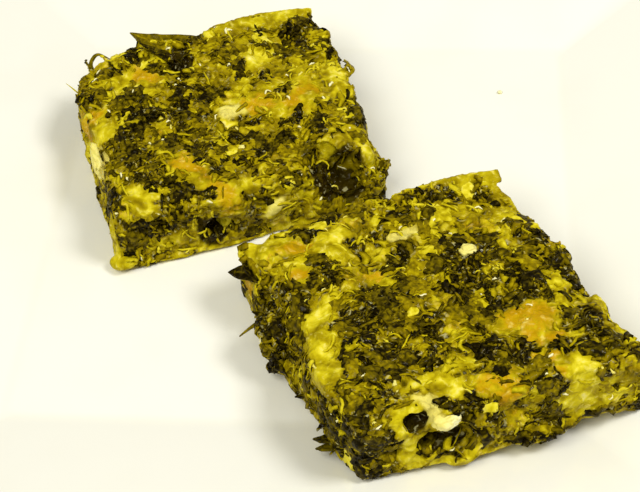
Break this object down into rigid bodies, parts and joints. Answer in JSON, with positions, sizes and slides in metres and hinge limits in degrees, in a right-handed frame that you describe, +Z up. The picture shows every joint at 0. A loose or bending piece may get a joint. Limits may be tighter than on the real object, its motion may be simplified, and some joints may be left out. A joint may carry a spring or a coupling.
{
  "type": "plate with two squares of spinach cheese bake",
  "caption": "Square white glazed plate with flat raised rims, carrying cut squares of a dense spinach and cheese bake, set apart and turned.",
  "frame": {"origin": "under the middle of the plate, on the level of its foot ring's underside", "axes": "+Z up, X and Y along the plate's sides, +Y away from the viewer of the picture"},
  "size_m": [0.176, 0.176, 0.027],
  "materials": {
    "glaze": "smooth white glossy glaze",
    "bake": "moist baked cheese and egg custard full of spinach, yellow to dark green, satin"
  },
  "bodies": {
    "root": {"plate": "glaze", "square_back": "bake", "square_front": "bake"}
  },
  "joints": []
}
